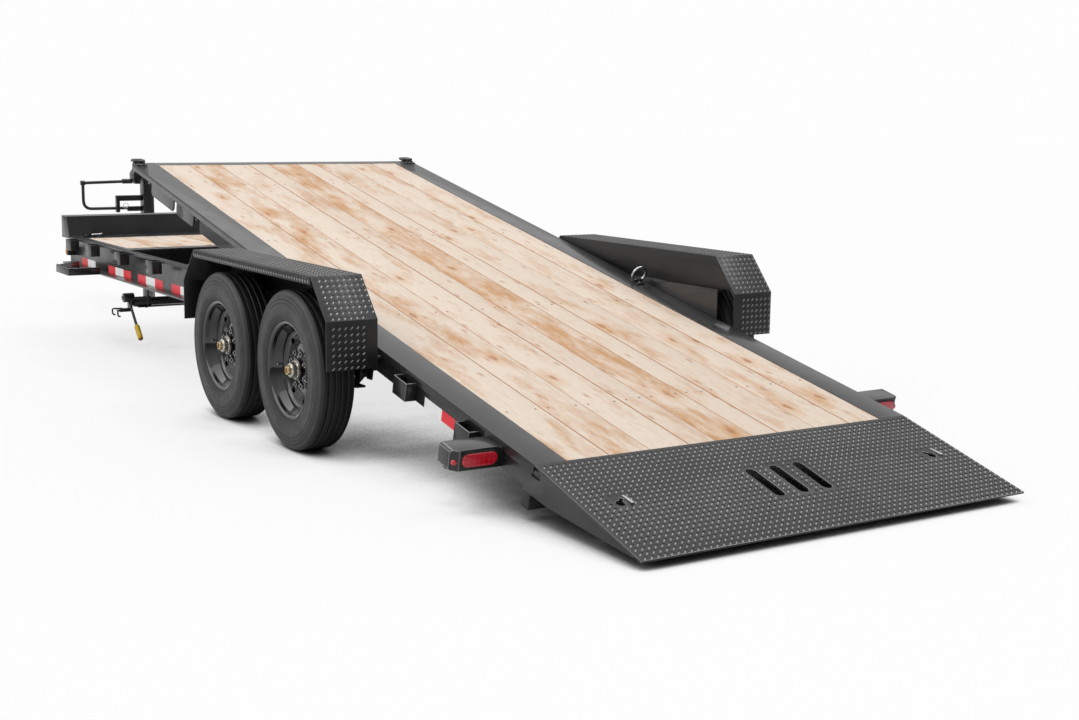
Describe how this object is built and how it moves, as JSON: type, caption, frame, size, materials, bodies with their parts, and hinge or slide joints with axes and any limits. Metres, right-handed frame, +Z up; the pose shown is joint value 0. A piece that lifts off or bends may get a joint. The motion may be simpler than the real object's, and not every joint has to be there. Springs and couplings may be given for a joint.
{
  "type": "tandem axle tilt deck equipment trailer",
  "caption": "Equipment trailer with a short fixed front deck and a long wooden tilt deck, tandem wheels under diamond-plate fenders, approach plate, jack and coupler.",
  "frame": {"origin": "on the ground, below the middle of the whole length and width", "axes": "+X towards the coupler, +Y the trailer's left side, +Z up"},
  "size_m": [9.0802, 2.598, 1.2917],
  "materials": {
    "frame_paint": "satin black paint",
    "rim_paint": "gloss black paint",
    "diamond_plate": "painted raised-pattern plate",
    "deck_wood": "planed softwood boards",
    "tyre": "ribbed trailer tyre",
    "bright_steel": "bright plated steel",
    "red_lens": "red lens",
    "yellow_grip": "yellow grip"
  },
  "bodies": {
    "chassis": {"chassis_crossframe": "frame_paint", "coupler": "frame_paint", "fixed_deck_border": "frame_paint", "fixed_deck_frame": "frame_paint", "headboard": "frame_paint", "jack_crank": "frame_paint", "jack_crank_holder": "frame_paint", "jack_tube": "frame_paint", "latch_lever": "frame_paint", "latch_shaft": "frame_paint", "leaf_spring_front_left": "frame_paint", "leaf_spring_front_right": "frame_paint", "leaf_spring_rear_left": "frame_paint", "leaf_spring_rear_right": "frame_paint", "main_rail_left": "frame_paint", "main_rail_right": "frame_paint", "side_step_left": "frame_paint", "side_step_right": "frame_paint", "tongue_left": "frame_paint", "tongue_nose": "frame_paint", "tongue_right": "frame_paint", "axle_front": "frame_paint", "axle_rear": "frame_paint", "fender_left": "diamond_plate", "fender_right": "diamond_plate", "fixed_deck_boards": "deck_wood", "jack_leg": "bright_steel", "latch_grip": "yellow_grip"},
    "tilt_deck": {"approach_plate": "diamond_plate", "tail_lamp_box_left": "frame_paint", "tail_lamp_box_right": "frame_paint", "tail_lens_left": "red_lens", "tail_lens_right": "red_lens", "tie_ring_left": "frame_paint", "tie_ring_right": "frame_paint", "tilt_crossframe": "frame_paint", "tilt_deck_boards": "deck_wood", "tilt_front_bar": "frame_paint", "tilt_pocket_front_left": "frame_paint", "tilt_pocket_front_right": "frame_paint", "tilt_pocket_rear_left": "frame_paint", "tilt_pocket_rear_right": "frame_paint", "tilt_rail_left": "frame_paint", "tilt_rail_right": "frame_paint", "pivot_shaft": "frame_paint"},
    "cylinder_barrel_body": {"cylinder_barrel": "frame_paint"},
    "cylinder_rod_body": {"cylinder_rod": "bright_steel"},
    "wheel_rear_left": {"tyre_rear_left": "tyre", "rim_rear_left": "rim_paint", "hub_rear_left": "bright_steel"},
    "wheel_rear_right": {"tyre_rear_right": "tyre", "rim_rear_right": "rim_paint", "hub_rear_right": "bright_steel"},
    "wheel_front_left": {"tyre_front_left": "tyre", "rim_front_left": "rim_paint", "hub_front_left": "bright_steel"},
    "wheel_front_right": {"tyre_front_right": "tyre", "rim_front_right": "rim_paint", "hub_front_right": "bright_steel"}
  },
  "joints": [
    {"name": "deck_tilt", "type": "hinge", "parent": "chassis", "child": "tilt_deck", "pos_m": [-1.705, 0, 0.5], "axis": [0, 1, 0], "range_deg": [0, 11.74]},
    {"name": "cylinder_swing", "type": "hinge", "parent": "chassis", "child": "cylinder_barrel_body", "pos_m": [0.532, 0, 0.46], "axis": [0, 1, 0], "range_deg": [-10.07, 0]},
    {"name": "cylinder_stroke", "type": "slide", "parent": "cylinder_barrel_body", "child": "cylinder_rod_body", "axis": [-0.9726, 0, 0.2325], "range_m": [-0.06765, 0]},
    {"name": "wheel_rear_left_spin", "type": "hinge", "parent": "chassis", "child": "wheel_rear_left", "pos_m": [-2.088, 1.1965, 0.3835], "axis": [0, 1, 0], "continuous": true},
    {"name": "wheel_rear_right_spin", "type": "hinge", "parent": "chassis", "child": "wheel_rear_right", "pos_m": [-2.088, -1.1965, 0.3835], "axis": [0, 1, 0], "continuous": true},
    {"name": "wheel_front_left_spin", "type": "hinge", "parent": "chassis", "child": "wheel_front_left", "pos_m": [-1.206, 1.1965, 0.3835], "axis": [0, 1, 0], "continuous": true},
    {"name": "wheel_front_right_spin", "type": "hinge", "parent": "chassis", "child": "wheel_front_right", "pos_m": [-1.206, -1.1965, 0.3835], "axis": [0, 1, 0], "continuous": true}
  ],
  "couplings": [
    {"joint": "cylinder_swing", "follows": "deck_tilt", "ratio": -0.8535},
    {"joint": "cylinder_stroke", "follows": "deck_tilt", "m_per_rad": -0.3287}
  ]
}
